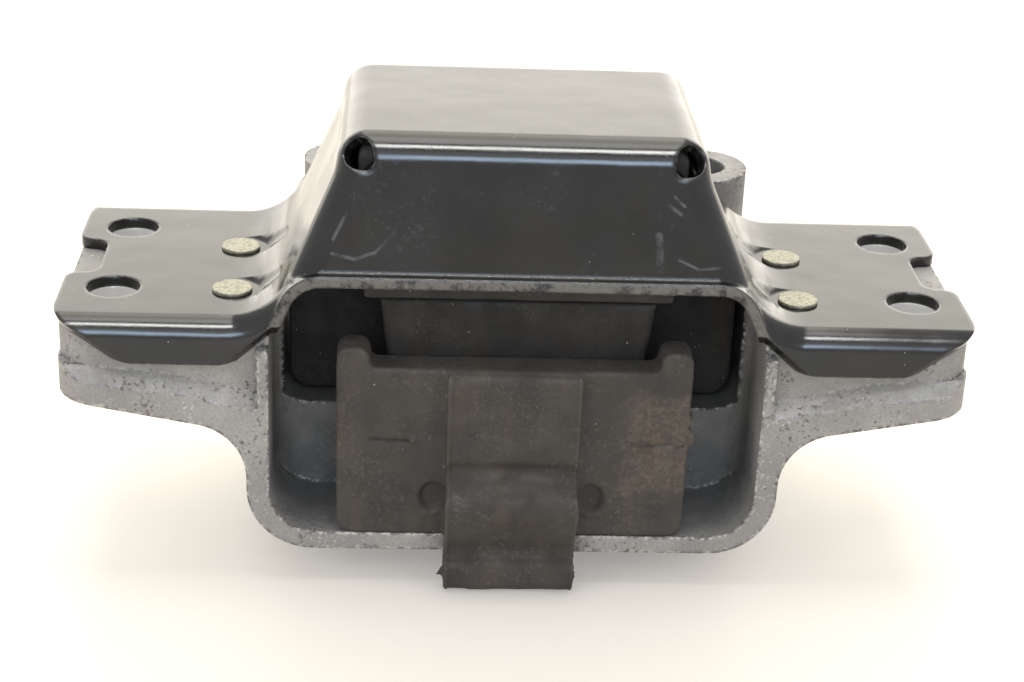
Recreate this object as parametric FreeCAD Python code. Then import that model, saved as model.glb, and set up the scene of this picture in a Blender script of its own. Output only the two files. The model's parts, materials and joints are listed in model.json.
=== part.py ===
"""Gearbox mount: a pressed-steel hat riveted over a cast tub, with a bonded rubber spring and arm.

Millimetres, +Z up, +X along the length, -Y towards the open front mouth. The origin is the
centre of the body bolt pattern, on the top face of the cover's flanges.
"""
import FreeCAD
import Part
import math
import os

V = FreeCAD.Vector
MIRROR_X = V(1, 0, 0)
MIRROR_Y = V(0, 1, 0)
far = 60.0                  # beyond every surface of a piece, for the tools that cut it

# Body bolts, through cover and housing
bolt_spacing_x = 165.0
bolt_spacing_y = 33.0
bolt_hole_diameter = 11.0

# Cover: sheet, flanges and lips
sheet = 2.3                 # thickness of the pressed steel
bolt_end_margin = 10.5      # bolt hole's centre to the flange's outer end
flange_half_length = bolt_spacing_x / 2 + bolt_end_margin
front_reach = 34.0          # origin to the outer face of the front lip
back_reach = 32.0           # origin to the outer face of the back lip
flange_corner = 8.0         # radius where the flange's end turns towards the lip
lip_bend = 4.5              # outer radius of the fold between flange and lip
lip_depth = 9.2             # flange top to the lip's lower edge
lip_corner = 5.0            # radius at the lip's lower corners
lip_start = 0.6             # the lip starts this far under the flange's top
lip_start_radius = 1.5
lip_slant_inner = 9.7       # how far the lip's ends slant in, over its depth
lip_slant_outer = 11.7
lip_inner_overlap = 0.3     # the lip's inner end reaches this far under the leg
lip_outer_margin = 3.2      # flange's end to the lip's outer end
notch_width = 18.0          # locating notch in each flange end
notch_depth = 6.4
notch_corner = 3.5          # radius in the notch
notch_mouth = 3.0           # radius at its open corners

# Cover: hat
hat_top = 37.0              # height of the hat above the flanges
hat_half_width = 35.9       # at the top
kink_spread = 1.5           # how far the upright side spreads on the way down
kink_half_width = hat_half_width + kink_spread
kink_height = 28.5          # where the upright side turns into the slanted leg
leg_foot_x = 49.7           # where the slanted leg would meet the flange
leg_kink_radius = 14.0
hat_side_bend = 6.4         # outer bend radius along the top's left and right edges
hat_front_bend = 5.8        # outer bend radius round the front and back panels
foot_radius = 13.5          # concave sweep from leg to flange
foot_overlap = 0.3          # of the leg's line above the sweep
panel_lean = 10.0           # degrees that the front and back panels lean inwards
sill_height = 10.3          # top face of the short flare under each panel
sill_depth = 2.2            # how far the flare stands out of the panel
mouth_corner = 9.0          # outer radius where leg and sill meet at the trimmed edges
hat_root = 6.0              # the hat's block starts this far under the sill
relief_diameter = 6.2       # punched hole at each top corner
relief_inset = 1.4          # hole's centre inwards from the hat's corner, sideways and down
relief_axis = V(0.61, 0.37, 0.71)
lip_inner_x = leg_foot_x - lip_inner_overlap
lip_outer_x = flange_half_length - lip_outer_margin

# Rivets and their flats
rivet_from_leg = 8.6
rivet_x = leg_foot_x + rivet_from_leg
rivet_front_y = -16.9
rivet_back_y = 6.1
rivet_head_diameter = 8.2
rivet_head_height = 0.6
rivet_shank_diameter = 5.6
rivet_length = 13.0         # under the head
rivet_bottom_gap = 0.3
rivet_seat_radius = 6.0     # flat seat pressed round each rivet
rivet_scoop_radius = 10.0   # outside of the seat's 45-degree skirt, in the foot of the leg

# Housing: a cast tub with two flanges
end_setback = 0.5           # the casting's ends lie inside the cover's
casting_half_length = flange_half_length - end_setback
back_setback = 1.0
casting_back = back_reach - back_setback
casting_corner = 7.0        # plan radius at the flange's outer corners
flange_end_thickness = 15.1
flange_end_bottom = -sheet - flange_end_thickness
flange_slope = 10.2         # degrees, underside falling towards the tub
flange_root_radius = 12.0
tub_wall = 4.6
tub_floor = 3.7
leg_to_tub = 0.3            # foot of the cover's leg to the tub's inner side
tub_inner_half_width = leg_foot_x + leg_to_tub
tub_half_width = tub_inner_half_width + tub_wall
tub_bottom = -50.5
tub_outer_radius = 13.5
tub_inner_radius = 9.5
saddle_height = -27.5       # seat of the rubber spring
saddle_radius = 7.0
saddle_thickness = 5.0
front_pocket_depth = 22.0   # from the front face to the wall under the saddle
partition_wall = 6.0
partition_front = front_pocket_depth - front_reach
partition_back = partition_front + partition_wall
pocket_corner = 5.0         # where the front pocket's sides meet the partition
rear_pocket_wall = 6.0      # beside the rear pocket, measured from the tub's inner side
rear_pocket_corner = 3.0
lip_clearance = 0.5         # between the cover's lip and the casting behind it
rim_width = 2.2             # flat front edge of the tub's wall, inside the recess behind the lip
rim_drop = 3.6              # the rim's ends stay this far below the flange faces
ledge_inner_foot = -19.4    # foot of the recess beside the tub
ledge_middle_foot = -15.2
ledge_outer_foot = -13.4    # and at the flange's outer end
ledge_ramp = 3.0            # height of the ramp from the front face up into the recess
pad_margin = 10.5           # machined pad under the flange, round the bolt holes' centres
pad_drop = 0.3              # below the underside of the flange's outer end

# Front buffer: a separate rubber block that stands in the tub's mouth
buffer_x = -0.5             # middle of the buffer
buffer_half_width = 35.9
buffer_thickness = 7.5
buffer_front = -front_reach
buffer_height = 37.5        # tub floor to the top of the block
buffer_top = tub_bottom + tub_floor + buffer_height
upstand_height = 4.4
upstand_width = 6.7
upstand_corner = 2.5
buffer_corner = 3.5
shelf_corner = 1.5          # where an upstand meets the block's top
buffer_base_gap = 0.3       # to the partition
strap_half_width = 13.5
strap_proud = 2.0           # strap in front of the block
strap_drop = 0.5            # below the block's top
strap_corner = 1.5
neck_proud = 1.0
neck_rise = 19.0            # heights from the tub's bottom up to neck and nose
neck_depth = 2.0            # the strap starts to fall back this far above the neck
neck_radius = 2.0
nose_proud = 7.1
nose_upper_rise = 15.0
nose_lower_rise = 11.0
nose_upper_radius = 2.5
nose_lower_radius = 3.0
groove_proud = 2.6
groove_rise = 0.2           # lower edge of the groove between nose and bead
groove_width = 2.1
groove_upper_radius = 0.8
groove_lower_radius = 0.6
bead_proud = 4.8
bead_drop = 1.0             # bead's top below the tub's bottom
bead_top_radius = 1.5
bead_radius = 2.5
rest_height = -58.0         # the mount rests on the strap's bead and the two bosses
hook_length = 7.0           # how far the hook reaches back under the tub's floor
hook_corner = 1.0
strap_gap = 0.4             # strap and hook to the tub's floor

# Core: cast arm with two bolt bosses
skin = 3.0                  # rubber over the core's front and back faces
skin_gap = 0.5              # front buffer to the rubber skin behind it
core_front = buffer_front + buffer_thickness + skin_gap + skin
core_setback = 10.0         # core's back face to the cover's back lip
core_back = back_reach - core_setback
core_top = 14.0
core_bottom = -14.0
core_half_width = 24.5
core_waist = 1.0            # height of the widest point
core_waist_radius = 8.0
core_top_half_width = 21.5
core_bottom_half_width = 21.0
core_corner = 5.0
arm_top = 2.5
arm_half_width = 22.0
arm_corner = 4.0
boss_spacing = 80.0
boss_offset_x = 4.4
boss_gap = 3.8              # bosses to the casting's back face
boss_top = 7.0
boss_diameter = 22.4
boss_bore = 12.4
boss_y = casting_back + boss_gap + boss_diameter / 2
beam_thickness = 16.0
beam_bottom = -17.0
gusset_thickness = 8.0
gusset_drop = 24.0

# Rubber bonded to the core
skin_top = 2.5              # where the skin ends and the top stop begins
skin_under = 3.5            # rubber under the core's edge, at the skin
skin_bottom = core_bottom - skin_under
skin_top_half_width = 28.0
skin_bottom_half_width = 25.5
skin_corner = 4.0
base_gap = 1.5              # front buffer's base to the rubber above it
spring_front = partition_back
spring_back_setback = 8.0   # from the casting's back face
spring_back = casting_back - spring_back_setback
spring_side_gap = 2.6       # to the tub's inner sides
spring_half_width = tub_inner_half_width - spring_side_gap
spring_top = 1.0
spring_shoulder = 7.0       # radius at the spring's upper outer corners
spring_corner = 5.0
spring_window_half_width = 13.0
spring_window_height = 6.5
spring_window_radius = 4.0
stop_clearance = 0.5        # top stop to the inside of the hat
stop_side_clearance = 0.6
stop_half_width = 31.3
stop_top_half_width = hat_half_width - sheet - stop_side_clearance
stop_front = core_front - skin
stop_back_skin = 2.6        # rubber behind the core
stop_back = core_back + stop_back_skin
stop_corner = 3.0


def rounded_wire(corners, place):
    """Closed wire through corners (a, b, radius), with tangent arcs at the radii."""
    count = len(corners)
    trims = []
    for i in range(count):
        a, b, radius = corners[i]
        before = corners[i - 1]
        after = corners[(i + 1) % count]
        to_before = V(before[0] - a, before[1] - b, 0).normalize()
        to_after = V(after[0] - a, after[1] - b, 0).normalize()
        point = V(a, b, 0)
        if radius <= 0:
            trims.append((point, point, point))
            continue
        half = to_before.getAngle(to_after) / 2
        reach = radius / math.tan(half)
        middle = (to_before + to_after).normalize() * (radius / math.sin(half) - radius)
        trims.append((point + to_before * reach, point + middle, point + to_after * reach))
    edges = []
    for i in range(count):
        start, middle, end = [place(p.x, p.y) for p in trims[i]]
        following = place(trims[(i + 1) % count][0].x, trims[(i + 1) % count][0].y)
        if corners[i][2] > 0:
            edges.append(Part.Arc(start, middle, end).toShape())
        if end.distanceToPoint(following) > 1e-6:
            edges.append(Part.makeLine(end, following))
    return Part.Wire(edges)


def inset(corners, gap):
    """The anticlockwise outline moved inwards by gap, with its radii kept concentric."""
    moved = []
    count = len(corners)
    for i in range(count):
        a, b, radius = corners[i]
        before = corners[i - 1]
        after = corners[(i + 1) % count]
        come = V(a - before[0], b - before[1], 0).normalize()
        leave = V(after[0] - a, after[1] - b, 0).normalize()
        normal_in = V(-come.y, come.x, 0)
        normal_out = V(-leave.y, leave.x, 0)
        shift = (normal_in + normal_out) * (gap / (1 + normal_in.dot(normal_out)))
        convex = come.x * leave.y - come.y * leave.x > 0
        new_radius = radius - gap if convex else radius + gap
        moved.append((a + shift.x, b + shift.y, max(new_radius, 0) if radius > 0 else 0))
    return moved


def mirrored(corners):
    """The outline mirrored left to right, still anticlockwise."""
    return [(-a, b, radius) for a, b, radius in reversed(corners)]


def prism_y(corners, start, end):
    """Outline in X and Z, extruded along Y."""
    face = Part.Face(rounded_wire(corners, lambda a, b: V(a, start, b)))
    return face.extrude(V(0, end - start, 0))


def prism_x(corners, start, end):
    """Outline in Y and Z, extruded along X."""
    face = Part.Face(rounded_wire(corners, lambda a, b: V(start, a, b)))
    return face.extrude(V(end - start, 0, 0))


def prism_z(corners, start, end):
    """Outline in X and Y, extruded along Z."""
    face = Part.Face(rounded_wire(corners, lambda a, b: V(a, b, start)))
    return face.extrude(V(0, 0, end - start))


def box(x_range, y_range, z_range):
    """Box between two values on each axis."""
    size = [high - low for low, high in (x_range, y_range, z_range)]
    return Part.makeBox(size[0], size[1], size[2], V(x_range[0], y_range[0], z_range[0]))


def post(x, y, low, high, radius):
    """Upright cylinder."""
    return Part.makeCylinder(radius, high - low, V(x, y, low))


def bolt_places():
    return [(sx * bolt_spacing_x / 2, sy * bolt_spacing_y / 2) for sx in (-1, 1) for sy in (-1, 1)]


def rivet_places():
    """Name and place of each rivet."""
    sides = (("left", -rivet_x), ("right", rivet_x))
    rows = (("front", rivet_front_y), ("rear", rivet_back_y))
    return [("rivet_%s_%s" % (side, row), x, y) for side, x in sides for row, y in rows]


def leg_x(height):
    """Outer face of the slanted leg at a height."""
    return leg_foot_x + (kink_half_width - leg_foot_x) * height / kink_height


def hat_outline(low):
    """Hat seen from the front: slanted legs, upright upper sides and flat top."""
    return [(-leg_x(low), low, 0), (leg_x(low), low, 0),
            (kink_half_width, kink_height, leg_kink_radius), (hat_half_width, hat_top, hat_side_bend),
            (-hat_half_width, hat_top, hat_side_bend), (-kink_half_width, kink_height, leg_kink_radius)]


def mouth_outline(low):
    """The hat's trimmed front and back edges, seen from the front."""
    sill_x = leg_x(sill_height)
    return [(-leg_x(low), low, 0), (leg_x(low), low, 0),
            (sill_x, sill_height, mouth_corner), (-sill_x, sill_height, mouth_corner)]


def flange_outline(gap, low, end):
    """Right flange seen from the front, with the sweep up onto the leg, moved in by gap."""
    run = leg_foot_x - kink_half_width
    slope = math.atan2(kink_height, run)
    shift = gap / math.sin(slope)
    radius = foot_radius + gap
    top = radius / math.tan((math.pi - slope) / 2) * math.sin(slope) - gap + foot_overlap
    inner = leg_x(top) - mouth_corner
    return [(inner, low, 0), (end, low, 0), (end, -gap, 0), (leg_x(-gap) - shift, -gap, radius),
            (leg_x(top) - shift, top, 0), (inner, top, 0)]


def panel_outline(low):
    """Hat seen from the side, with its front and back panels leaning inwards."""
    lean = math.tan(math.radians(panel_lean))
    front = -front_reach + sill_depth
    back = back_reach - sill_depth
    drop = sill_height - low
    rise = hat_top - sill_height
    return [(front - drop * lean, low, 0), (back + drop * lean, low, 0),
            (back - rise * lean, hat_top, 0), (front + rise * lean, hat_top, 0)]


def panel_rim(edge, low):
    """True for the edges where the top and sides of the hat meet its front or back panel."""
    bound = edge.BoundBox
    if bound.ZMax < low + 1:
        return False
    return bound.YLength < bound.ZLength or bound.YLength < 0.01


def hat_block(gap):
    """The hat's upper part as a solid block, inside its outer surface by gap."""
    low = sill_height - hat_root
    block = prism_y(inset(hat_outline(low), gap), -far, far)
    block = block.common(prism_x(inset(panel_outline(low), gap), -far, far))
    rim = [e for e in block.Edges if panel_rim(e, low + gap)]
    return block.makeFillet(hat_front_bend - gap, rim)


def flange_block(gap, low, extra):
    """Both flanges with their feet as solid blocks, inside the outer surface by gap."""
    outline = flange_outline(gap, low, flange_half_length + extra)
    front = -front_reach + gap
    back = back_reach - gap
    blocks = []
    for corners in (outline, mirrored(outline)):
        block = prism_y(corners, front, back)
        rim = [e for e in edges_in_plane(block, front) + edges_in_plane(block, back)
               if on_foot(e, gap)]
        blocks.append(block.makeFillet(lip_bend - gap, rim))
    return blocks[0].fuse(blocks[1])


def edges_in_plane(shape, y):
    """Edges that lie in the plane at y."""
    return [e for e in shape.Edges
            if abs(e.BoundBox.YMin - y) < 1e-4 and abs(e.BoundBox.YMax - y) < 1e-4]


def on_foot(edge, gap):
    """True for the flange's straight top edge, the sweep beside it and the leg above."""
    bound = edge.BoundBox
    level = bound.ZLength < 0.01
    top_cut = level and bound.ZMin > 0
    return bound.ZMin > -gap - 0.01 and bound.XLength > 0.01 and not top_cut


def hat_space(gap, low, extra, reach):
    """Everything under the cover's outer surface, moved in by gap."""
    mouth = prism_y(inset(mouth_outline(low), gap), -front_reach - reach, back_reach + reach)
    return hat_block(gap).fuse(mouth).fuse(flange_block(gap, low, extra))


def rivet_scoops(gap):
    """The room above the seats pressed for the rivets and above their 45-degree skirts."""
    seat = rivet_seat_radius + gap * (math.sqrt(2) - 1)
    radius = rivet_scoop_radius + gap
    rise = radius - seat
    scoops = []
    for _, x, y in rivet_places():
        skirt = Part.makeCone(seat, radius, rise, V(x, y, -gap))
        scoops.append(skirt.fuse(post(x, y, rise - gap, sill_height, radius)))
    return Part.makeCompound(scoops)


def fold_point(reach, height):
    """Distance along the view square to the fold's middle, for a point on the lip's plane."""
    return (height - reach) / math.sqrt(2)


def lip_outline(reach):
    """Edge of the trimmed sheet, seen square to the middle of the fold."""
    low = fold_point(reach, -lip_depth)
    high = fold_point(reach, -lip_start)
    outer = lip_outer_x - lip_slant_outer
    turn = low + (high - low) * (flange_half_length - outer) / lip_slant_outer
    right = [(lip_inner_x, high, lip_start_radius), (lip_inner_x + lip_slant_inner, low, lip_corner),
             (outer, low, lip_corner), (flange_half_length, turn, flange_corner),
             (flange_half_length, 0, 0)]
    return mirrored(right) + right


def lip_waste(reach):
    """What is trimmed off the sheet beyond the outline of the front lips."""
    across = V(0, -1, 1) / math.sqrt(2) * far

    def place(a, b):
        return V(a, b / math.sqrt(2), b / math.sqrt(2)) - across

    side = flange_half_length + far
    sheet_area = [(-side, -far, 0), (side, -far, 0), (side, -reach / 3, 0), (-side, -reach / 3, 0)]
    outer = Part.Face(rounded_wire(sheet_area, place)).extrude(across * 2)
    kept = Part.Face(rounded_wire(lip_outline(reach), place)).extrude(across * 2)
    return outer.cut(kept)


def notch_outline():
    """Everything beyond the right flange's outer end, with the locating notch."""
    half = notch_width / 2
    inner = flange_half_length - notch_depth
    end = flange_half_length
    side = min(front_reach, back_reach) - flange_corner - lip_bend
    return [(inner, half, notch_corner), (inner, -half, notch_corner), (end, -half, notch_mouth),
            (end, -side, 0), (end + far, -side, 0), (end + far, side, 0), (end, side, 0),
            (end, half, notch_mouth)]


def relief_holes():
    """Punched holes through the hat's four top corners."""
    rise = hat_top - sill_height - relief_inset
    lean = rise * math.tan(math.radians(panel_lean))
    length = relief_diameter * 2
    holes = []
    for sx in (-1, 1):
        for sy, reach in ((-1, front_reach), (1, back_reach)):
            axis = V(sx * relief_axis.x, sy * relief_axis.y, relief_axis.z)
            middle = V(sx * (hat_half_width - relief_inset), sy * (reach - sill_depth - lean),
                       hat_top - relief_inset)
            base = middle - axis * (length / 2)
            holes.append(Part.makeCylinder(relief_diameter / 2, length, base, axis))
    return holes


def cover():
    """Pressed hat with two flanges, their folded lips, holes and notches."""
    open_end = 3 * sheet
    outer = hat_space(0, -lip_depth, sheet, 0).cut(rivet_scoops(0))
    inner = hat_space(sheet, -lip_depth - open_end, 2 * open_end, open_end)
    shell = outer.cut(inner.cut(rivet_scoops(sheet)))
    notch = notch_outline()
    cuts = [lip_waste(front_reach), lip_waste(back_reach).mirror(V(0, 0, 0), MIRROR_Y)]
    cuts += [prism_z(notch, -far, far), prism_z(mirrored(notch), -far, far)]
    cuts += [post(x, y, -far, far, bolt_hole_diameter / 2) for x, y in bolt_places()]
    cuts += [post(x, y, -far, far, rivet_shank_diameter / 2) for _, x, y in rivet_places()]
    return shell.cut(cuts + relief_holes())


def underside(x):
    """Height of the flange's sloping underside."""
    return flange_end_bottom - (casting_half_length - x) * math.tan(math.radians(flange_slope))


def casting_outline():
    """Housing seen from the front: tub with a sloping flange on each side."""
    right = [(tub_half_width, tub_bottom, tub_outer_radius),
             (tub_half_width, underside(tub_half_width), flange_root_radius),
             (casting_half_length, flange_end_bottom, 0), (casting_half_length, -sheet, 0)]
    return mirrored(right) + right


def plan_outline(front, back):
    """Housing seen from above, with rounded corners."""
    x = casting_half_length
    return [(-x, front, casting_corner), (x, front, casting_corner),
            (x, back, casting_corner), (-x, back, casting_corner)]


def ledge_points():
    """Foot of the recess behind the lip, as places along X and heights."""
    inner = tub_inner_half_width + rim_width
    middle = bolt_spacing_x / 2 - bolt_end_margin
    return [(inner, ledge_inner_foot), (middle, ledge_middle_foot),
            (casting_half_length, ledge_outer_foot)]


def ledge_blocks(face, recess):
    """Blocks over the right flange's ledge, with the ramp from face to recess at their foot."""
    away = face * 2 - recess
    points = ledge_points()
    blocks = []
    for (x, foot), (end, end_foot) in zip(points, points[1:]):
        section = [V(x, away, foot - ledge_ramp), V(x, recess, foot + ledge_ramp),
                   V(x, 0, foot + ledge_ramp), V(x, 0, 1), V(x, away, 1)]
        side = Part.Face(Part.makePolygon(section + section[:1]))
        blocks.append(side.extrude(V(end - x, 0, end_foot - foot)))
    return blocks


def rolled_edge(recess, inward):
    """What lies outside the casting's rounded top edge, under the cover's fold."""
    bend = lip_bend - sheet
    length = 2 * casting_half_length
    y = sorted((recess - inward, recess + inward * bend))
    edge = box((-length / 2, length / 2), y, (-sheet - bend, 1))
    axis = V(-length / 2, recess + inward * bend, -sheet - bend)
    return edge.cut(Part.makeCylinder(bend, length, axis, V(1, 0, 0)))


def recess_cuts():
    """What is taken off the casting in front of and behind the cover's lips."""
    front = -front_reach + sheet + lip_clearance
    back = back_reach - sheet - lip_clearance
    kept = prism_z(plan_outline(front, back), -far, 1)
    cuts = []
    for face, recess in ((-front_reach, front), (casting_back, back)):
        inward = 1 if recess > face else -1
        for block in ledge_blocks(face, recess):
            cuts += [block.cut(kept), block.mirror(V(0, 0, 0), MIRROR_X).cut(kept)]
        half = tub_inner_half_width + rim_width + 1
        y = sorted((face - inward, recess))
        cuts.append(box((-half, half), y, (-sheet - rim_drop, 1)))
        cuts.append(rolled_edge(recess, inward))
    return cuts


def tub_outline(low, radius):
    """Inside of the tub seen from the front, open at the top."""
    inner = tub_inner_half_width
    return [(-inner, low, radius), (inner, low, radius), (inner, 1, 0), (-inner, 1, 0)]


def pocket_plan():
    """Front pocket seen from above, with rounded inner corners."""
    inner = tub_inner_half_width
    mouth = -front_reach - 1
    return [(-inner, mouth, 0), (inner, mouth, 0), (inner, partition_front, pocket_corner),
            (-inner, partition_front, pocket_corner)]


def tub_cuts():
    """The tub's front pocket, the space over the saddle and the pocket under it."""
    floor = tub_bottom + tub_floor
    pocket = prism_y(tub_outline(floor, tub_inner_radius), -front_reach - 1, partition_front)
    pocket = pocket.common(prism_z(pocket_plan(), -far, 2))
    above = prism_y(tub_outline(saddle_height, saddle_radius), partition_front - 1, casting_back + 1)
    side = tub_inner_half_width - rear_pocket_wall
    roof = saddle_height - saddle_thickness
    r = rear_pocket_corner
    rear = [(-side, floor, r), (side, floor, r), (side, roof, r), (-side, roof, r)]
    return [pocket, above, prism_y(rear, partition_back, casting_back + 1)]


def machined_pads():
    """What is milled off under the flanges to seat the bolts square."""
    inner = bolt_spacing_x / 2 - pad_margin
    half = bolt_spacing_y / 2 + pad_margin
    seat = flange_end_bottom - pad_drop
    ends = ((inner, casting_half_length + 1), (-casting_half_length - 1, -inner))
    return [box(x, (-half, half), (-far, seat)) for x in ends]


def housing():
    """Cast tub with a saddle for the rubber and two bolting flanges."""
    shape = prism_y(casting_outline(), -front_reach, casting_back)
    shape = shape.common(prism_z(plan_outline(-front_reach, casting_back), -far, 1))
    cuts = tub_cuts() + recess_cuts() + machined_pads()
    cuts += [post(x, y, -far, 1, bolt_hole_diameter / 2) for x, y in bolt_places()]
    depth = rivet_length + rivet_bottom_gap
    cuts += [post(x, y, -depth, 1, rivet_shank_diameter / 2) for _, x, y in rivet_places()]
    return shape.cut(cuts)


def rivet(x, y):
    """Rivet through the cover into the housing, with a low flat head."""
    head = post(x, y, 0, rivet_head_height, rivet_head_diameter / 2)
    return head.fuse(post(x, y, -rivet_length, 0, rivet_shank_diameter / 2))


def core_outline():
    """Core seen from the front."""
    right = [(core_bottom_half_width, core_bottom, core_corner),
             (core_half_width, core_waist, core_waist_radius),
             (core_top_half_width, core_top, core_corner)]
    return right + mirrored(right)


def boss_places():
    return [boss_offset_x - boss_spacing / 2, boss_offset_x + boss_spacing / 2]


def gusset(x, toward):
    """Rib under the beam beside a boss."""
    size = gusset_drop + boss_diameter / 2
    corners = [(x, beam_bottom + 1), (x, beam_bottom - gusset_drop),
               (x + toward * boss_diameter / 2, beam_bottom - gusset_drop),
               (x + toward * size, beam_bottom + 1)]
    points = [V(a, boss_y - gusset_thickness / 2, b) for a, b in corners]
    face = Part.Face(Part.makePolygon(points + points[:1]))
    return face.extrude(V(0, gusset_thickness, 0))


def core():
    """Cast core inside the rubber, with an arm to a beam that carries two bolt bosses."""
    block = prism_y(core_outline(), core_front, core_back)
    r = arm_corner
    w = arm_half_width
    arm = [(-w, core_bottom, r), (w, core_bottom, r), (w, arm_top, r), (-w, arm_top, r)]
    front = boss_y - beam_thickness / 2
    back = boss_y + beam_thickness / 2
    beam = [(front, beam_bottom, r), (back, beam_bottom, r), (back, arm_top, r), (front, arm_top, r)]
    left, right = boss_places()
    parts = [prism_y(arm, core_back - core_corner, boss_y), prism_x(beam, left, right)]
    parts += [gusset(left, 1), gusset(right, -1)]
    parts += [post(x, boss_y, rest_height, boss_top, boss_diameter / 2) for x in (left, right)]
    bores = [post(x, boss_y, rest_height - 1, boss_top + 1, boss_bore / 2) for x in (left, right)]
    return block.multiFuse(parts).removeSplitter().cut(bores)


def main_spring(metal):
    """Rubber between the core and the saddle, with a skin over the core's faces."""
    w = spring_half_width
    mass = [(-w, saddle_height, spring_corner), (w, saddle_height, spring_corner),
            (w, spring_top, spring_shoulder), (-w, spring_top, spring_shoulder)]
    skin_shape = [(-skin_bottom_half_width, skin_bottom, skin_corner),
                  (skin_bottom_half_width, skin_bottom, skin_corner),
                  (skin_top_half_width, skin_top, 0), (-skin_top_half_width, skin_top, 0)]
    v = spring_window_half_width
    window = [(-v, saddle_height - 1, 0), (v, saddle_height - 1, 0),
              (v, saddle_height + spring_window_height, spring_window_radius),
              (-v, saddle_height + spring_window_height, spring_window_radius)]
    shape = prism_y(mass, spring_front, spring_back)
    shape = shape.fuse(prism_y(skin_shape, core_front - skin, core_back + skin))
    return shape.cut([prism_y(window, spring_front - 1, spring_back + 1), metal])


def upper_stop(metal):
    """Rubber cap on the core that meets the hat's top when the engine lifts."""
    top = hat_top - sheet - stop_clearance
    outline = [(-stop_half_width, skin_top, 0), (stop_half_width, skin_top, 0),
               (stop_top_half_width, top, stop_corner), (-stop_top_half_width, top, stop_corner)]
    lean = (top - skin_top) * math.tan(math.radians(panel_lean)) / 2
    side = [(stop_front, skin_top, 0), (stop_back, skin_top, 0),
            (stop_back - lean, top, stop_corner), (stop_front + lean, top, stop_corner)]
    shape = prism_y(outline, stop_front, stop_back)
    return shape.common(prism_x(side, -stop_top_half_width, stop_top_half_width)).cut(metal)


def buffer_outline():
    """Front buffer's block seen from the front, with an upstand at each end."""
    w = buffer_half_width
    shelf = w - upstand_width
    top = buffer_top + upstand_height
    right = [(w, tub_bottom + tub_floor, buffer_corner), (w, top, upstand_corner),
             (shelf, top, upstand_corner), (shelf, buffer_top, shelf_corner)]
    return right + mirrored(right)


def strap_outline():
    """Strap, nose, bead and hook seen from the side."""
    face = buffer_front
    low = tub_bottom
    inside = face + 1
    behind = face - strap_gap
    sole = low + tub_floor + strap_gap
    under = low - strap_gap
    hook = face + hook_length
    neck = low + neck_rise
    return [(inside, buffer_top - strap_drop, 0),
            (face - strap_proud, buffer_top - strap_drop, strap_corner),
            (face - strap_proud, neck + neck_depth, neck_radius),
            (face - neck_proud, neck, neck_radius),
            (face - nose_proud, low + nose_upper_rise, nose_upper_radius),
            (face - nose_proud, low + nose_lower_rise, nose_lower_radius),
            (face - groove_proud, low + groove_rise + groove_width, groove_upper_radius),
            (face - groove_proud, low + groove_rise, groove_lower_radius),
            (face - bead_proud, low - bead_drop, bead_top_radius),
            (face - bead_proud, rest_height, bead_radius), (hook, rest_height, bead_radius),
            (hook, under, hook_corner), (behind, under, 0), (behind, sole, 0), (inside, sole, 0)]


def front_buffer():
    """Rubber block in the tub's mouth, with a strap over the floor's front edge."""
    block_back = buffer_front + buffer_thickness
    block = prism_y(buffer_outline(), buffer_front, block_back)
    back = partition_front - buffer_base_gap
    base = box((-buffer_half_width, buffer_half_width), (block_back - 1, back),
               (tub_bottom + tub_floor, skin_bottom - base_gap))
    strap = prism_x(strap_outline(), -strap_half_width, strap_half_width)
    shape = block.fuse([base, strap]).removeSplitter()
    shape.translate(V(buffer_x, 0, 0))
    return shape


def single(shape):
    """The one solid in a shape."""
    return shape.Solids[0] if len(shape.Solids) == 1 else shape


def build():
    os.makedirs("parts", exist_ok=True)
    metal = single(core())
    nodes = {"cover": cover(), "housing": housing(), "core": metal,
             "main_spring": main_spring(metal), "upper_stop": upper_stop(metal),
             "front_buffer": front_buffer()}
    for name, x, y in rivet_places():
        nodes[name] = rivet(x, y)
    for name, shape in nodes.items():
        print(name, len(shape.Solids), shape.isValid(), round(shape.Volume))
        single(shape).exportStep("parts/%s.step" % name)


build()
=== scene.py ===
"""Looks of the gearbox mount: paint, castings and rubber around the fixed solids.

Metres, in the solids' own frame: +X along the mount, -Y towards its open front, +Z up.
"""
import bpy
import bmesh
import json
import math
from mathutils import Matrix, Vector, noise


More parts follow.
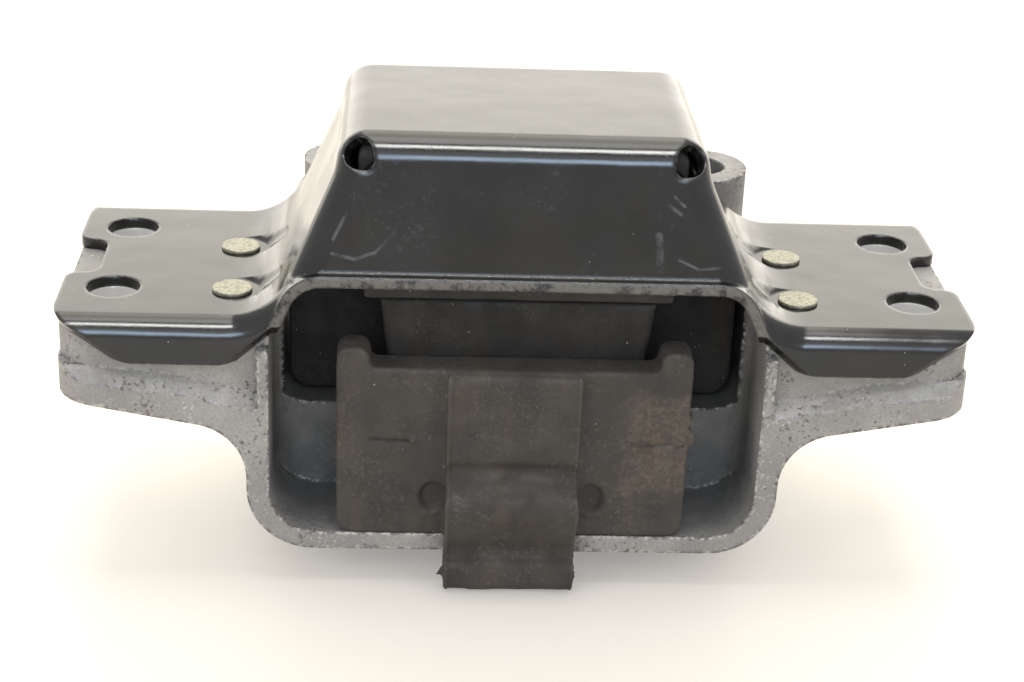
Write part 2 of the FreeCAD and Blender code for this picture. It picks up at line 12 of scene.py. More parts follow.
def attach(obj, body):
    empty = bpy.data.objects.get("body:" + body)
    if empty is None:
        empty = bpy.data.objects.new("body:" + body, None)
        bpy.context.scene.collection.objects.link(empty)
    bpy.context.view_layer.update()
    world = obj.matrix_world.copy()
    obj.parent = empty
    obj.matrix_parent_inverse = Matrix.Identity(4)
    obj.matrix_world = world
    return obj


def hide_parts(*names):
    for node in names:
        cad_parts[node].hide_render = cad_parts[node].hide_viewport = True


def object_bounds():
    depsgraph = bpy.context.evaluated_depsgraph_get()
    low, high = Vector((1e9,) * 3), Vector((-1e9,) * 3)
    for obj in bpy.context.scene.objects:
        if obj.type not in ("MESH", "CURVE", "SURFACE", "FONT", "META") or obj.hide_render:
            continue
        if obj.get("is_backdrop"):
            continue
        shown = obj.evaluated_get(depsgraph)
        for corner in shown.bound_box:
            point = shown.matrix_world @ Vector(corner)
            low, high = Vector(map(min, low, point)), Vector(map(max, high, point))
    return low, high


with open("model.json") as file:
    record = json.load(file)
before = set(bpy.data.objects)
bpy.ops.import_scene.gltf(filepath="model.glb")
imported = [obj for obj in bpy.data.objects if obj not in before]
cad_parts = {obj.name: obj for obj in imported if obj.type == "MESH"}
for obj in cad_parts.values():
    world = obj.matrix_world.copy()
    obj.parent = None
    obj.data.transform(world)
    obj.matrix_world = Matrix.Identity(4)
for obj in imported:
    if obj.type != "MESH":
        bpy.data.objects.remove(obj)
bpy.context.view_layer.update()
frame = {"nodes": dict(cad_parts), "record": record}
nodes = frame["nodes"]
MM = 0.001
BEVEL_SAMPLES = 6
NEARLY_PARALLEL = 0.995     # cosine between true and rounded normal where an edge begins
CLEARLY_TURNED = 0.8        # and where it is full
SMOOTH_ANGLE = 35           # degrees; sharper edges of the solids stay sharp
WELD_DISTANCE = 0.002 * MM
MACHINED_RADIUS = 5.9 * MM  # bolt holes' walls, just outside the 11 mm holes
FLOOR_SIZE = 8              # metres
FLOOR_GLOW = 0.24           # the floor's share of plain white, where it is seen


# ---------------------------------------------------------------- shader helpers

class Graph:
    """A material's node tree, with short calls for the nodes used here."""

    def __init__(self, name):
        self.material = bpy.data.materials.new(name)
        self.material.use_nodes = True
        self.tree = self.material.node_tree
        self.tree.nodes.clear()
        self.point = self.node("TexCoord").outputs["Object"]

    def node(self, kind, settings=None, **inputs):
        """New node; settings are its properties and inputs its sockets, by name."""
        made = self.tree.nodes.new("ShaderNode" + kind)
        for key, value in (settings or {}).items():
            setattr(made, key, value)
        for key, value in inputs.items():
            self.feed(made.inputs[key.replace("_", " ")], value)
        return made

    def feed(self, socket, value):
        """Links an output to a socket, or sets the socket's own value."""
        if isinstance(value, bpy.types.NodeSocket):
            self.tree.links.new(value, socket)
        else:
            socket.default_value = value

    def noise(self, size, detail=4.0, roughness=0.55, stretch=(1, 1, 1)):
        """Noise of about that feature size in metres, from 0 to 1."""
        place = self.node("Mapping", Vector=self.point, Scale=stretch).outputs[0]
        made = self.node("TexNoise", Vector=place, Scale=1 / size, Detail=detail,
                         Roughness=roughness)
        return made.outputs[0]

    def cells(self, size):
        """Distance to scattered points about size apart, in units of size."""
        made = self.node("TexVoronoi", Vector=self.point, Scale=1 / size)
        return made.outputs["Distance"]

    def ramp(self, value, low, high, start=0.0, end=1.0):
        """Value taken from low..high to start..end, clamped and smooth."""
        made = self.node("MapRange", {"interpolation_type": "SMOOTHSTEP"}, Value=value)
        limits = {"From Min": low, "From Max": high, "To Min": start, "To Max": end}
        for key, number in limits.items():
            self.feed(made.inputs[key], number)
        return made.outputs[0]

    def math(self, operation, first, second=0.0):
        """Result of a math node on two values."""
        made = self.node("Math", {"operation": operation})
        self.feed(made.inputs[0], first)
        self.feed(made.inputs[1], second)
        return made.outputs[0]

    def blend(self, share, first, second):
        """Colour between first and second."""
        made = self.node("Mix", {"data_type": "RGBA"})
        self.feed(made.inputs[0], share)
        self.feed(made.inputs[6], first)
        self.feed(made.inputs[7], second)
        return made.outputs[2]

    def axis(self, name):
        """One coordinate of the shaded point."""
        return self.node("SeparateXYZ", Vector=self.point).outputs[name]

    def normal(self, name):
        """One component of the surface's own normal."""
        true_normal = self.node("NewGeometry").outputs["True Normal"]
        return self.node("SeparateXYZ", Vector=true_normal).outputs[name]

    def share(self, *values):
        """Product of several values."""
        product = values[0]
        for value in values[1:]:
            product = self.math("MULTIPLY", product, value)
        return product

    def edges(self, radius):
        """1 along edges within about radius, 0 elsewhere."""
        own = self.node("NewGeometry").outputs["Normal"]
        dot = self.node("VectorMath", {"operation": "DOT_PRODUCT"})
        self.feed(dot.inputs[0], self.rounded(radius))
        self.feed(dot.inputs[1], own)
        return self.ramp(dot.outputs["Value"], NEARLY_PARALLEL, CLEARLY_TURNED)

    def bump(self, height, distance, strength=1.0, normal=None):
        """Normal tilted by a height from 0 to 1 over distance metres."""
        made = self.node("Bump", Height=height, Distance=distance, Strength=strength)
        if normal is not None:
            self.feed(made.inputs["Normal"], normal)
        return made.outputs[0]

    def rounded(self, radius):
        """Normal rounded over edges by radius."""
        return self.node("Bevel", {"samples": BEVEL_SAMPLES}, Radius=radius).outputs[0]

    def finish(self, **inputs):
        """Principled surface with the given inputs, as the material."""
        surface = self.node("BsdfPrincipled", **inputs)
        out = self.node("OutputMaterial")
        self.tree.links.new(surface.outputs[0], out.inputs["Surface"])
        return self.material


def grey(value, warm=0.0):
    """Opaque grey, warmed towards brown."""
    return (value * (1 + warm), value, value * (1 - warm), 1)


# ---------------------------------------------------------------- materials

# scuffs on the front panel, with painted bluish reflections along them: start and end (x, z) and
# half width of each stroke, in millimetres
PANEL_SCUFFS_AND_GLINTS = (((-37.5, 14.2), (-33.0, 13.2), 0.5), ((-33.0, 13.2), (-29.0, 14.6), 0.5),
                ((-29.0, 14.6), (-25.6, 18.4), 0.4), ((-37.3, 17.0), (-34.8, 22.0), 0.5),
                ((27.4, 12.5), (26.8, 19.0), 1.1), ((28.6, 25.0), (31.0, 23.4), 0.5),
                ((29.6, 26.8), (31.6, 25.0), 0.4), ((31.0, 14.4), (35.0, 12.6), 0.4),
                ((35.0, 12.6), (40.4, 13.0), 0.4))

PANEL_BACK = -25.0          # the strokes show only in front of this Y
MOUTH_HALF_WIDTH = 52.0     # the trimmed sheet edge round the mouth lies inside this X
SHEET_MIDDLE_Y = -1.0       # halfway between the trimmed front and back edges
TRIM_DISTANCE = 32.9        # from there to just inside those edges
LIP_BOTTOM = -9.0           # the folded lips' trimmed edge lies below this Z


def stroke(g, start, end, width):
    """1 along a straight stroke on the front panel, 0 further than width millimetres from it."""
    flat = g.node("CombineXYZ", X=g.axis("X"), Z=g.axis("Z")).outputs[0]
    run = Vector((end[0] - start[0], 0, end[1] - start[1])) * MM
    local = g.node("VectorMath", {"operation": "SUBTRACT"})
    g.feed(local.inputs[0], flat)
    g.feed(local.inputs[1], (start[0] * MM, 0, start[1] * MM))
    along = g.node("VectorMath", {"operation": "DOT_PRODUCT"})
    g.feed(along.inputs[0], local.outputs[0])
    g.feed(along.inputs[1], run / run.length_squared)
    reached = g.node("Clamp", Value=along.outputs["Value"]).outputs[0]
    foot = g.node("VectorMath", {"operation": "SCALE"})
    g.feed(foot.inputs[0], run)
    g.feed(foot.inputs["Scale"], reached)
    away = g.node("VectorMath", {"operation": "DISTANCE"})
    g.feed(away.inputs[0], local.outputs[0])
    g.feed(away.inputs[1], foot.outputs[0])
    near = g.ramp(away.outputs["Value"], width * MM, 0.2 * width * MM)
    on_panel = g.ramp(g.axis("Y"), PANEL_BACK * MM, (PANEL_BACK - 1) * MM)
    return g.share(near, on_panel)


def trimmed_edges(g):
    """1 on the sheet's trimmed edges: round the mouths, and under the folded lips."""
    x, y, z = (g.axis(name) for name in "XYZ")
    inside = g.ramp(g.math("ABSOLUTE", x), (MOUTH_HALF_WIDTH + 1) * MM, MOUTH_HALF_WIDTH * MM)
    reach = g.math("ABSOLUTE", g.math("SUBTRACT", y, SHEET_MIDDLE_Y * MM))
    at_end = g.math("GREATER_THAN", reach, TRIM_DISTANCE * MM)
    square = g.math("GREATER_THAN", g.math("ABSOLUTE", g.normal("Y")), 0.999)
    low = g.ramp(z, (LIP_BOTTOM + 0.1) * MM, (LIP_BOTTOM - 0.1) * MM)
    return g.math("MAXIMUM", g.share(at_end, square, inside), low)


def panel_marks(g):
    """1 along all the strokes on the front panel."""
    strokes = [stroke(g, *scuff_and_glint) for scuff_and_glint in PANEL_SCUFFS_AND_GLINTS]
    marks = strokes[0]
    for line in strokes[1:]:
        marks = g.math("MAXIMUM", marks, line)
    return marks


def black_paint():
    """Gloss black coating on pressed steel: dusty, scuffed, with painted reflections along the
    scuffs and painted highlights on worn edges, and bare on its trimmed edges.
    """
    g = Graph("black_paint")
    colour = g.blend(g.ramp(g.noise(14 * MM, 5), 0.35, 0.75), grey(0.007), grey(0.014, 0.1))
    film = g.share(g.ramp(g.noise(1.3 * MM, 5, 0.7), 0.5, 0.8),
                   g.ramp(g.noise(17 * MM), 0.45, 0.7))
    colour = g.blend(g.share(film, 0.3), colour, grey(0.05, 0.08))
    grit = g.share(g.ramp(g.cells(1.9 * MM), 0.09, 0.05), g.ramp(g.noise(8 * MM), 0.56, 0.62))
    colour = g.blend(grit, colour, grey(0.4, 0.05))
    trimmed = g.share(trimmed_edges(g), g.ramp(g.noise(2.2 * MM, 4), 0.3, 0.55))
    bare = g.share(trimmed, g.math("SUBTRACT", 1.0, g.edges(0.7 * MM)))
    steel = g.blend(g.noise(0.8 * MM), grey(0.09, 0.08), grey(0.19, 0.06))
    colour = g.blend(bare, colour, steel)
    # lighter edges: edge wear, and a painted highlight along the sheet's edges
    worn_and_glint = g.share(g.edges(0.4 * MM), g.ramp(g.noise(1.5 * MM), 0.52, 0.6))
    colour = g.blend(worn_and_glint, colour, grey(0.2, 0.03))
    marks = panel_marks(g)
    # painted reflection: bluish light grey along the scuff strokes; the scuffs' relief is the
    # bump further down
    scuff_and_glint = g.share(marks, g.ramp(g.noise(3.5 * MM, 5), 0.3, 0.65))
    colour = g.blend(g.share(scuff_and_glint, 0.7), colour, grey(0.16, -0.05))
    gloss = g.ramp(g.noise(18 * MM, 5), 0.3, 0.7, 0.09, 0.17)
    rough = g.math("ADD", gloss, g.share(g.math("MAXIMUM", trimmed, film), 0.3))
    normal = g.bump(g.noise(26 * MM, 2), 0.35 * MM, 1.0, g.rounded(1.1 * MM))
    normal = g.bump(marks, 0.03 * MM, 0.7, normal)
    normal = g.bump(g.noise(1.4 * MM, 3), 0.015 * MM, 0.6, normal)
    return g.finish(Base_Color=colour, Roughness=rough, IOR=1.5, Normal=normal)


def near_bolts(g, radius):
    """1 within radius of the axis of a body bolt, from the record's bolt pattern."""
    sizes = next(m["dims"] for m in frame["record"]["mounts"] if m["name"] == "body_bolts")
    bolt_x, bolt_y = (sizes[key] / 2 * MM for key in ("spacing_x_mm", "spacing_y_mm"))
    x = g.math("SUBTRACT", g.math("ABSOLUTE", g.axis("X")), bolt_x)
    y = g.math("SUBTRACT", g.math("ABSOLUTE", g.axis("Y")), bolt_y)
    away = g.math("SQRT", g.math("ADD", g.share(x, x), g.share(y, y)))
    return g.math("LESS_THAN", away, radius)


def cast_alloy():
    """As-cast aluminium: grainy, stained, speckled on its rims, with painted shade in its
    hollows, bright where it is machined, that brightness partly a painted highlight.
    """
    g = Graph("cast_alloy")
    colour = g.blend(g.ramp(g.noise(13 * MM, 6), 0.3, 0.7), grey(0.31, 0.02), grey(0.44, 0.015))
    grain = g.ramp(g.noise(0.55 * MM, 4, 0.7), 0.35, 0.7)
    colour = g.blend(g.share(grain, 0.5), colour, grey(0.22, 0.1))
    spots = g.share(g.ramp(g.noise(0.9 * MM, 3), 0.56, 0.66), g.ramp(g.noise(9 * MM), 0.46, 0.62))
    colour = g.blend(g.share(spots, 0.8), colour, grey(0.08, 0.3))
    bloom = g.share(g.ramp(g.noise(0.7 * MM, 3), 0.55, 0.7), g.ramp(g.noise(7 * MM), 0.5, 0.66))
    colour = g.blend(g.share(bloom, 0.7), colour, grey(0.75))
    # painted shade: a darker grey blended in, in patches, where ambient occlusion finds hollows
    open_to_light = g.node("AmbientOcclusion", {"samples": 8}, Distance=26 * MM).outputs["AO"]
    patchy = g.ramp(g.noise(6 * MM, 5), 0.2, 0.6, 0.5, 1.0)
    colour = g.blend(g.share(g.ramp(open_to_light, 0.6, 0.15), patchy), colour, grey(0.16, -0.03))
    rim = g.share(g.edges(1.8 * MM), g.ramp(g.noise(0.9 * MM, 3), 0.40, 0.55))
    speckle = g.blend(g.ramp(g.noise(1.5 * MM), 0.48, 0.56), grey(0.07, 0.1), grey(0.7, 0.04))
    colour = g.blend(rim, colour, speckle)
    # machined bolt-hole walls painted near white: bare metal, plus a painted highlight lifting
    # them out of the holes' shade
    machined_and_painted_bright = near_bolts(g, MACHINED_RADIUS)
    colour = g.blend(machined_and_painted_bright, colour, grey(0.85))
    rough = g.ramp(g.noise(4 * MM), 0.3, 0.7, 0.52, 0.72)
    rough = g.math("SUBTRACT", rough, g.share(machined_and_painted_bright, 0.2))
    normal = g.bump(g.noise(5 * MM, 3), 0.25 * MM, 0.6, g.rounded(0.8 * MM))
    normal = g.bump(g.noise(0.6 * MM, 3), 0.10 * MM, 0.8, normal)
    normal = g.bump(g.ramp(spots, 0.0, 1.0, 1.0, 0.0), 0.08 * MM, 0.8, normal)
    return g.finish(Base_Color=colour, Metallic=0.05, Roughness=rough, Normal=normal)


def rivet_metal():
    """Dull grainy rivet heads, corroded at their edge."""
    g = Graph("rivet_metal")
    grain = g.ramp(g.noise(0.8 * MM, 4), 0.4, 0.65)
    colour = g.blend(grain, (0.47, 0.45, 0.34, 1), (0.29, 0.27, 0.20, 1))
    corroded = g.share(g.edges(0.8 * MM), g.ramp(g.noise(1.3 * MM), 0.4, 0.6))
    colour = g.blend(corroded, colour, grey(0.1, 0.15))
    normal = g.bump(g.noise(0.6 * MM, 3), 0.15 * MM, 1.0, g.rounded(0.6 * MM))
    return g.finish(Base_Color=colour, Metallic=0.15, Roughness=0.5, Normal=normal)


def rubbed_patch(g, patch):
    """1 in a ragged rectangle on front faces; patch is its X and Z limits in millimetres."""
    ragged = g.share(g.math("SUBTRACT", g.noise(5 * MM, 5, 0.7), 0.5), 16 * MM)
    share = g.share(g.normal("Y"), -1.0)
    for axis, (low, high) in zip("XZ", patch):
        place = g.math("ADD", g.axis(axis), ragged)
        share = g.share(share, g.ramp(place, (low - 2) * MM, (low + 2) * MM))
        share = g.share(share, g.ramp(place, (high + 2) * MM, (high - 2) * MM))
    return g.share(share, g.ramp(g.noise(1.2 * MM, 5, 0.75), 0.4, 0.7, 0.2, 0.9))


def rubber(name, dark, light, dust_and_sheen, patch=None):
    """Moulded rubber, dusty and scuffed, with painted highlights on its convex edges and painted
    shade in its creases; patch is where its skin is rubbed tan.
    """
    g = Graph(name)
    colour = g.blend(g.ramp(g.noise(11 * MM, 5), 0.2, 0.8), grey(dark, 0.08), grey(light, 0.12))
    grain = g.ramp(g.noise(0.5 * MM, 4, 0.75), 0.3, 0.7)
    colour = g.blend(g.share(grain, 0.35), colour, grey(dark * 0.6, 0.05))
    stain = g.ramp(g.noise(12 * MM, 4, 0.6, (1.6, 1, 0.6)), 0.5, 0.7)
    brown = (light * 1.35, light * 1.05, light * 0.75, 1)
    colour = g.blend(g.share(stain, 0.45), colour, brown)
    scuffs = g.share(g.ramp(g.noise(0.9 * MM, 4, 0.7), 0.5, 0.75),
                     g.ramp(g.noise(14 * MM), 0.42, 0.6))
    colour = g.blend(g.share(scuffs, 0.7), colour, grey(dust_and_sheen, 0.1))
    if patch:
        tan = (dust_and_sheen * 1.1, dust_and_sheen * 0.88, dust_and_sheen * 0.7, 1)
        colour = g.blend(rubbed_patch(g, patch), colour, tan)
    edge = g.node("NewGeometry").outputs["Pointiness"]
    # convex edges lightened towards the dust grey: dust, and a painted highlight along the edges
    colour = g.blend(g.ramp(edge, 0.53, 0.62, 0.0, 0.6), colour, grey(dust_and_sheen, 0.06))
    # painted shade: creases darkened towards near black
    colour = g.blend(g.ramp(edge, 0.47, 0.40, 0.0, 0.7), colour, grey(dark * 0.35))
    flecks = g.share(g.ramp(g.cells(2.6 * MM), 0.07, 0.04), g.ramp(g.noise(6 * MM), 0.5, 0.6))
    colour = g.blend(flecks, colour, grey(0.4, 0.05))
    rough = g.ramp(g.noise(5 * MM), 0.3, 0.7, 0.6, 0.85)
    normal = g.bump(g.noise(0.45 * MM, 4), 0.05 * MM, 0.8)
    return g.finish(Base_Color=colour, Roughness=rough, IOR=1.35, Normal=normal)


def floor_paper():
    """White ground, with a share of plain white so that only the shadow shows."""
    g = Graph("floor_paper")
    colour = g.blend(g.noise(600 * MM), (0.86, 0.80, 0.71, 1), (0.88, 0.82, 0.74, 1))
    path = g.node("LightPath")
    seen = g.math("MAXIMUM", path.outputs["Is Camera Ray"], path.outputs["Is Glossy Ray"])
    return g.finish(Base_Color=colour, Roughness=0.45, Emission_Color=(1, 1, 1, 1),
                    Emission_Strength=g.share(seen, FLOOR_GLOW))


# ---------------------------------------------------------------- solids that stay

def dress(node, material):
    """Gives a solid its material and smooth shading over its curved faces."""
    obj = nodes[node]
    obj.data.materials.clear()
    obj.data.materials.append(material)
    weld = obj.modifiers.new("weld", "WELD")
    weld.merge_threshold = WELD_DISTANCE
    obj.data.shade_smooth()
    split = obj.modifiers.new("split", "EDGE_SPLIT")
    split.split_angle = math.radians(SMOOTH_ANGLE)
    weighted = obj.modifiers.new("weighted", "WEIGHTED_NORMAL")
    weighted.keep_sharp = True


# ---------------------------------------------------------------- rubber pieces

def bake(piece):
    """Replaces the piece's mesh by the result of its modifiers."""
    bpy.context.view_layer.update()
    graph = bpy.context.evaluated_depsgraph_get()
    baked = bpy.data.meshes.new_from_object(piece.evaluated_get(graph))
    piece.modifiers.clear()
    piece.data = baked


def soft_piece(node, name, voxel, smoothing, crumbs=()):
    """Fine even mesh of a rubber solid with rounded edges; crumbs are (x, y, z, radius) in mm."""
    shape = bmesh.new()
    shape.from_mesh(nodes[node].data)
    bmesh.ops.remove_doubles(shape, verts=shape.verts, dist=0.001 * MM)
    for x, y, z, radius in crumbs:
        place = Matrix.Translation(Vector((x, y, z)) * MM)
        bmesh.ops.create_icosphere(shape, subdivisions=2, radius=radius * MM, matrix=place)
    mesh = bpy.data.meshes.new(name)
    shape.to_mesh(mesh)
    shape.free()
    piece = bpy.data.objects.new(name, mesh)
    bpy.context.scene.collection.objects.link(piece)
    remesh = piece.modifiers.new("remesh", "REMESH")
    remesh.mode = "VOXEL"
    remesh.voxel_size = voxel * MM
    smooth = piece.modifiers.new("smooth", "SMOOTH")
    smooth.factor = 0.5
    smooth.iterations = smoothing
    bake(piece)
    return piece


def press(piece, height):
    """Moves each vertex along its normal by height(point, normal), all in millimetres."""
    mesh = piece.data
    moves = []
    for vertex in mesh.vertices:
        point = vertex.co / MM
        moves.append(vertex.co + vertex.normal * height(point, vertex.normal) * MM)
    for vertex, place in zip(mesh.vertices, moves):
        vertex.co = place
    mesh.shade_smooth()
    mesh.update()


def soft_step(value, low, high):
    """0 below low and 1 above high, smooth between; low may be the larger."""
    share = min(max((value - low) / (high - low), 0.0), 1.0)
    return share * share * (3 - 2 * share)


def wobble(point, size, seed=0.0):
    """Noise of about -1 to 1 with features of that size in millimetres."""
    return noise.noise(point / size + Vector((seed, seed * 1.7, -seed)))


def slit(point, start, end, z, width, wander):
    """1 in the middle of a ragged horizontal slit across the front face, 0 outside it."""
    if not start < point.x < end:
        return 0.0
    middle = z + wander * wobble(Vector((point.x, 0, 0)), 2.5, 4.0)
    taper = min(soft_step(point.x, start, start + 2), soft_step(point.x, end, end - 1))
    return taper * soft_step(abs(point.z - middle), width, width * 0.3)


def blob(point, x, z, wide, high):
    """1 at the middle of an ellipse in X and Z, 0 at its rim."""
    return soft_step(math.hypot((point.x - x) / wide, (point.z - z) / high), 1.0, 0.7)


# the reliefs below take and give millimetres; a slit is its ends in X, its height, its half
# width and how far it wanders, and a blob is its middle in X and Z and its half axes
FACES_FRONT = -0.5          # a vertex is on a front face when its normal's Y is below this
STRAP_BACK = -34.8          # the buffer's strap and nose stand in front of this Y
STRAP_MIDDLE, STRAP_HALF = -0.5, 13.0      # in X
BEAD_TOP = -50              # the nose's bead lies below this height
NECK_HEIGHT, NECK_SPREAD = -31.4, 2.2      # the hollow above the nose, in Z
BLOCK_MIDDLE = -0.3         # of the block's two moulding pockets, in X
POCKET, POCKET_DEPTH = (16.2, -38.0, 3.1, 3.6), 1.3
POCKET_LIP, POCKET_LIP_HEIGHT = (16.9, -41.6, 2.2, 1.0), 0.35
LEFT_CRACK, LEFT_CRACK_DEPTH = (-30.3, -21.2, -25.4, 0.5, 0.35), 0.9
CRACK_END, CRACK_END_HEIGHT = (-20.9, -24.9, 0.9, 0.8), 0.7
RIGHT_CRACK, RIGHT_CRACK_DEPTH = (22.0, 35.6, -25.7, 0.4, 0.5), 0.6
RUBBED_LEFT = (21.5, 23.5)  # where the rubbed patch fades in, in X
RUBBED_LOW, RUBBED_HIGH = (-32, -29), (-14, -16)      # and in Z
TORN_SIDE = (34, 35.2)      # where the torn side fades in, in X
TEAR = (0, -22.5, 1, 4)     # its height, as a blob
SEAM_X = -21.6              # parting seam of the stop, carried on in the main rubber
SEAM_TOP = (3.0, 2.0)       # where the stop's seam fades in, in Z
SEAM_DEPTH = 0.35
STOP_SCRATCH, SCRATCH_DEPTH = (-6, 4.5, 2.9, 0.45, 0.3), 0.2


def torn_side(point):
    """Relief of the tear in the block's right side."""
    tear = soft_step(point.x, *TORN_SIDE) * blob(Vector((0, 0, point.z)), *TEAR)
    return tear * (0.5 + 1.0 * wobble(point, 1.6, 6))


def block_face(point):
    """Relief of the block's front face: two cracks, rubbed patch, moulding pockets."""
    height = -LEFT_CRACK_DEPTH * slit(point, *LEFT_CRACK)
    height += CRACK_END_HEIGHT * blob(point, *CRACK_END)
    height -= RIGHT_CRACK_DEPTH * slit(point, *RIGHT_CRACK)
    rubbed = soft_step(point.x + 2 * wobble(point, 3, 2), *RUBBED_LEFT)
    rubbed *= soft_step(point.z, *RUBBED_LOW) * soft_step(point.z, *RUBBED_HIGH)
    height += rubbed * (-0.25 + 0.3 * wobble(point, 1.5, 5))
    for side in (-1, 1):
        for (x, *rest), share in ((POCKET, -POCKET_DEPTH), (POCKET_LIP, POCKET_LIP_HEIGHT)):
            height += share * blob(point, side * x + BLOCK_MIDDLE, *rest)
    return height


def strap_face(point):
    """Relief of the strap and nose: raised borders, a neck, and flash on the bead."""
    border = abs(abs(point.x - STRAP_MIDDLE) - STRAP_HALF)
    height = 0.4 * soft_step(border, 0.6, 0.2)
    height -= 0.7 * math.exp(-((point.z - NECK_HEIGHT) / NECK_SPREAD) ** 2)
    height += 0.15 * wobble(Vector((point.x * 0.4, point.y, point.z)), 3, 7)
    if point.z < BEAD_TOP:
        height += 0.3 * wobble(Vector((point.x, 0, point.z)), 3.2, 8)
    return height


def buffer_height(point, normal):
    """Relief of the front buffer."""
    height = 0.12 * wobble(point, 7) + 0.05 * wobble(point, 1.6, 3) + 0.03 * wobble(point, 0.8, 9)
    if normal.y > FACES_FRONT:
        return height + torn_side(point)
    if point.y > STRAP_BACK:
        return height + block_face(point)
    return height + strap_face(point)


def seam(point):
    """1 along the parting seam, 0 beside it."""
    return soft_step(abs(point.x - SEAM_X), 0.7, 0.2)


def stop_height(point, normal):
    """Relief of the top stop: moulded skin with a parting seam and a scratch."""
    height = 0.10 * wobble(point, 6, 1) + 0.04 * wobble(point, 1.3, 2)
    if normal.y < FACES_FRONT:
        height -= SEAM_DEPTH * seam(point) * soft_step(point.z, *SEAM_TOP)
        height -= SCRATCH_DEPTH * slit(point, *STOP_SCRATCH)
    return height


def spring_height(point, normal):
    """Relief of the main rubber: a wavy skin, with the stop's seam carried on below it."""
    height = 0.14 * wobble(point, 8, 5) + 0.05 * wobble(point, 1.5, 4)
    if normal.y < FACES_FRONT:
        height -= SEAM_DEPTH * seam(point)
    return height


def bead_flash():
    """Crumbs of flash at both ends of the buffer's bead: (x, y, z, radius) in millimetres."""
    left = []
    for i in range(4):
        left.append((-14.2 - 0.35 * i, -37.0 + 0.3 * i, -52.9 - 0.75 * i, 0.55 - 0.05 * i))
    return left + [(13.2, -37.4, -54.6, 0.4), (13.2, -37.0, -53.8, 0.4)]


def rubber_pieces():
    """The three rubber mouldings, as fine meshes in place of their solids."""
    # solid, piece, slot, voxel size, smoothing passes, crumbs, relief, material
    made = (
        ("front_buffer", "buffer_block", "buffer_rubber", 0.42, 7, bead_flash(), buffer_height,
         rubber("buffer_rubber", 0.048, 0.080, 0.145, ((22, 42), (-37, -15)))),
        # the main rubber and the stop are one rubber; the main rubber's darker tones are painted
        # shade for its place deep in the housing
        ("main_spring", "spring_mass", "spring_rubber", 0.75, 4, (), spring_height,
         rubber("spring_rubber", 0.022, 0.038, 0.075)),
        ("upper_stop", "stop_pad", "spring_rubber", 0.6, 4, (), stop_height,
         rubber("stop_rubber", 0.043, 0.057, 0.095)),
    )
    for node, name, slot, voxel, smoothing, crumbs, relief, material in made:
        piece = soft_piece(node, name, voxel, smoothing, crumbs)
        press(piece, relief)
        piece.data.materials.clear()
        piece.data.materials.append(material)
        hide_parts(node)
        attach(piece, "root")


# ---------------------------------------------------------------- studio

def studio_floor():
    """Pale floor under the object's feet."""
    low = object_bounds()[0][2]
    bpy.ops.mesh.primitive_plane_add(size=FLOOR_SIZE, location=(0, 0, low))
    ground = bpy.context.object
    ground.name = "studio_floor"
    ground.data.materials.append(floor_paper())
    ground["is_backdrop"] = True


def soft_light(name, place, aim, size, radiance, tint, shows):
    """Rectangular lamp of that radiance, facing aim; shows says which rays it lights."""
    lamp = bpy.data.lights.new(name, "AREA")
    lamp.shape = "RECTANGLE"
    lamp.size, lamp.size_y = size
    lamp.energy = radiance * math.pi * size[0] * size[1]
    lamp.color = tint
    obj = bpy.data.objects.new(name, lamp)
    obj.location = place
    obj.rotation_euler = (Vector(aim) - Vector(place)).to_track_quat("-Z", "Y").to_euler()
    obj.visible_camera = False
    obj.visible_diffuse = shows != "glossy"
    obj.visible_glossy = shows != "diffuse"
    bpy.context.scene.collection.objects.link(obj)


def studio_world(ambient):
    """Soft light from all round, with a white background where it is seen or mirrored."""
    world = bpy.data.worlds.new("studio")
    bpy.context.scene.world = world
    world.use_nodes = True
    tree = world.node_tree
    tree.nodes.clear()
    path = tree.nodes.new("ShaderNodeLightPath")
    strength = tree.nodes.new("ShaderNodeMapRange")
    strength.inputs["To Min"].default_value = ambient
    strength.inputs["To Max"].default_value = 1.0
    seen = path.outputs["Is Camera Ray"]
    for ray in ("Is Glossy Ray", "Is Transmission Ray"):
        either = tree.nodes.new("ShaderNodeMath")
        either.operation = "MAXIMUM"
        tree.links.new(seen, either.inputs[0])
        tree.links.new(path.outputs[ray], either.inputs[1])
        seen = either.outputs[0]
    tree.links.new(seen, strength.inputs["Value"])
    glow = tree.nodes.new("ShaderNodeBackground")
    glow.inputs["Color"].default_value = (1, 1, 1, 1)
    tree.links.new(strength.outputs[0], glow.inputs["Strength"])
    out = tree.nodes.new("ShaderNodeOutputWorld")
    tree.links.new(glow.outputs[0], out.inputs["Surface"])


FOCAL_LENGTH = 74.3         # on a 36 mm sensor
CAMERA_PLACE = (-22.7, -416.6, 170.9)      # millimetres
CAMERA_ANGLES = (65.625, -2.231, -2.153)   # degrees; 90 would look level


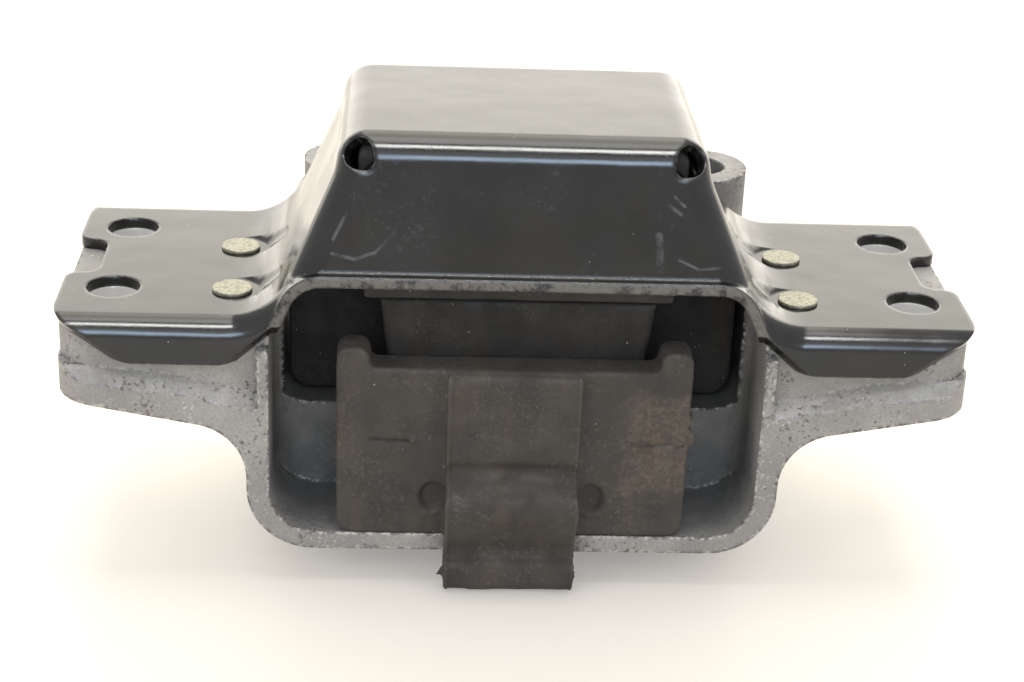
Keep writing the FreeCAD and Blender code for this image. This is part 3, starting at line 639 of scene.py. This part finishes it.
def studio_camera():
    """Long lens from the front, a little to the left, looking down at 24 degrees."""
    lens = bpy.data.cameras.new("camera")
    lens.sensor_width = 36
    lens.lens = FOCAL_LENGTH
    lens.clip_start = 20 * MM
    camera = bpy.data.objects.new("camera", lens)
    camera.location = Vector(CAMERA_PLACE) * MM
    camera.rotation_euler = [math.radians(angle) for angle in CAMERA_ANGLES]
    bpy.context.scene.collection.objects.link(camera)
    bpy.context.scene.camera = camera


# ---------------------------------------------------------------- assembly

AMBIENT = 0.5               # strength of the world where it lights the object
MIDDLE = (0, 0, 0)
# name, place, aim, size in metres, radiance, tint, rays it lights
LAMPS = (
    ("back_panel", (0, 1.5, 0.42), (0, 0, 0.1), (4.4, 0.98), 2.0, (1, 0.94, 0.80), "both"),
    ("back_roof", (0, 0.8, 1.25), MIDDLE, (0.8, 1.1), 2.7, (1, 0.94, 0.78), "both"),
    ("top_lamp", (0, 0.06, 1.4), MIDDLE, (0.8, 0.5), 4.5, (1, 0.98, 0.93), "both"),
    ("white_card", (0, -0.57, 1.28), MIDDLE, (0.8, 0.24), 27, (1, 0.99, 0.96), "glossy"),
    ("blue_card", (0, -1.45, 0.59), MIDDLE, (0.9, 0.34), 12, (0.6, 0.78, 1), "glossy"),
    ("front_fill", (0, -1.22, 0.95), MIDDLE, (0.9, 0.5), 1.0, (0.9, 0.95, 1), "both"),
    ("left_fill", (-1.25, -0.95, 0.7), MIDDLE, (0.9, 0.9), 1.6, (1, 0.99, 0.97), "diffuse"),
    ("right_fill", (1.25, -0.95, 0.7), MIDDLE, (0.9, 0.9), 0.8, (1, 0.99, 0.97), "diffuse"),
)

dress("cover", black_paint())
alloy = cast_alloy()
dress("housing", alloy)
dress("core", alloy)
rivet_surface = rivet_metal()
for name in nodes:
    if name.startswith("rivet_"):
        dress(name, rivet_surface)
rubber_pieces()

studio_floor()
studio_world(AMBIENT)
for lamp in LAMPS:
    soft_light(*lamp)
studio_camera()
bpy.context.scene.view_settings.view_transform = "Standard"
